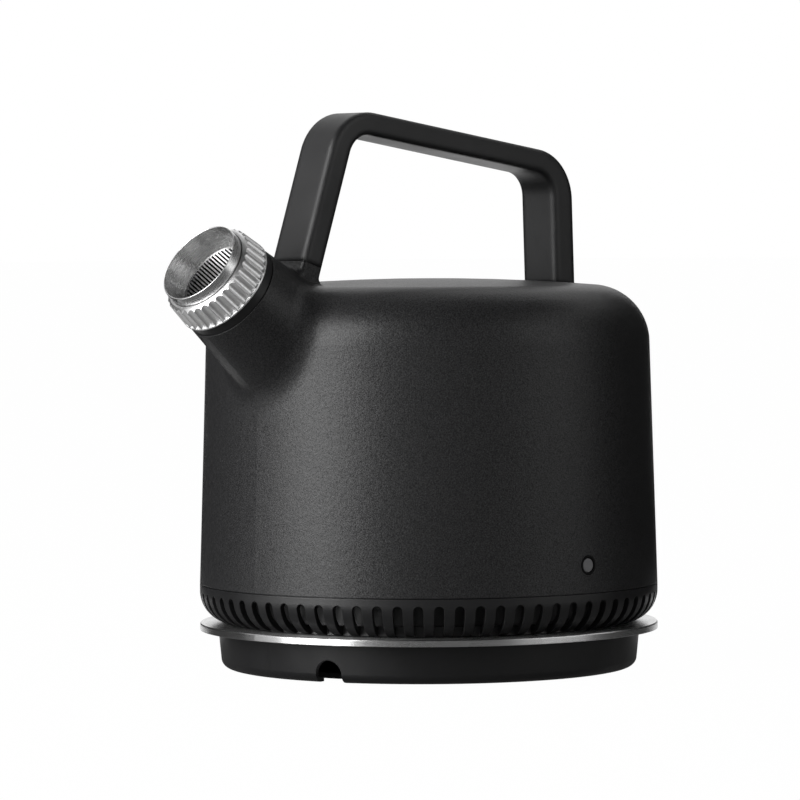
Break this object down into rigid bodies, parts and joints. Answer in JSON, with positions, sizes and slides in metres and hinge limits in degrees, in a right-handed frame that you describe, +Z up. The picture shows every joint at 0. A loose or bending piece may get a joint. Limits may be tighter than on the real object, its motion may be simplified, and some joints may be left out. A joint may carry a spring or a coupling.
{
  "type": "electric kettle",
  "caption": "Squat drum kettle with a bar handle, an upward spout with a fluted filter ring, a vented foot and a press button, lifting off a round cordless stand.",
  "frame": {"origin": "centre of the stand's underside, on the resting plane of its feet", "axes": "+Z up along the kettle's axis, +X towards the spout, +Y towards the button side"},
  "size_m": [0.2283, 0.19, 0.2293],
  "materials": {
    "body_paint": "fine-textured charcoal powder coat",
    "black_plastic": "matt moulded black",
    "bright_steel": "brushed stainless steel",
    "plain_steel": "plain steel",
    "grey_plastic": "matt grey",
    "pale_plastic": "off-white heat-proof plastic",
    "relay_blue": "blue case",
    "board_green": "green laminate",
    "lead_red": "coloured insulation",
    "soft_rubber": "soft black rubber",
    "contact_brass": "plain brass",
    "spreader_alloy": "cast",
    "light_lens": "clear lens"
  },
  "bodies": {
    "base": {"base_housing": "black_plastic", "base_plate": "bright_steel", "base_cover": "black_plastic", "base_feet": "soft_rubber", "base_cover_screws": "plain_steel", "base_socket": "grey_plastic", "socket_live_contact": "contact_brass", "socket_neutral_contact": "contact_brass", "socket_earth_contact": "contact_brass", "plate_studs": "plain_steel", "plate_nuts": "plain_steel"},
    "contact_ring": {"inlet_neutral_ring": "contact_brass"},
    "kettle": {"inlet_housing": "grey_plastic", "inlet_pin": "contact_brass", "inlet_earth_ring": "contact_brass", "inlet_clamp": "plain_steel", "inlet_clamp_screws": "plain_steel", "body_shell": "body_paint", "vent_ring": "black_plastic", "bottom_cover": "black_plastic", "bottom_cover_screws": "plain_steel", "mounting_posts": "pale_plastic", "kettle_feet": "soft_rubber", "heater_plate": "bright_steel", "heat_spreader": "spreader_alloy", "heating_element": "plain_steel", "element_terminals": "plain_steel", "thermal_cutout": "pale_plastic", "temperature_probe": "bright_steel", "probe_gasket": "soft_rubber", "control_board": "board_green", "board_bracket": "plain_steel", "board_screws": "plain_steel", "power_relay": "relay_blue", "terminal_block": "pale_plastic", "indicator_light": "light_lens", "button_switch": "grey_plastic", "button_guide": "black_plastic", "internal_leads": "lead_red", "spout_collar": "black_plastic", "handle_grip": "black_plastic", "handle_core": "plain_steel", "handle_screws": "plain_steel", "handle_seals": "soft_rubber"},
    "button": {"button_cap": "grey_plastic", "switch_plunger": "pale_plastic"},
    "filter": {"filter_funnel": "bright_steel", "filter_mesh": "bright_steel", "mesh_retainer": "plain_steel", "filter_seal": "soft_rubber"},
    "ring": {"filter_ring": "bright_steel"}
  },
  "joints": [
    {"name": "kettle_lift", "type": "slide", "parent": "base", "child": "contact_ring", "axis": [0, 0, 1], "range_m": [0, 0.06]},
    {"name": "kettle_swivel", "type": "hinge", "parent": "contact_ring", "child": "kettle", "pos_m": [0, 0, 0.03], "axis": [0, 0, 1], "continuous": true},
    {"name": "filter_draw", "type": "slide", "parent": "kettle", "child": "filter", "axis": [0.808, 0, 0.5892], "range_m": [0, 0.012]},
    {"name": "ring_turn", "type": "hinge", "parent": "filter", "child": "ring", "pos_m": [0.1228, 0, 0.16866], "axis": [0.808, 0, 0.5892], "range_deg": [0, 1080]},
    {"name": "button_press", "type": "slide", "parent": "kettle", "child": "button", "axis": [0, -1, 0], "range_m": [0, 0.0008], "stiffness_N_per_m": 600}
  ],
  "couplings": [
    {"joint": "filter_draw", "follows": "ring_turn", "m_per_rad": 0.00063662}
  ]
}
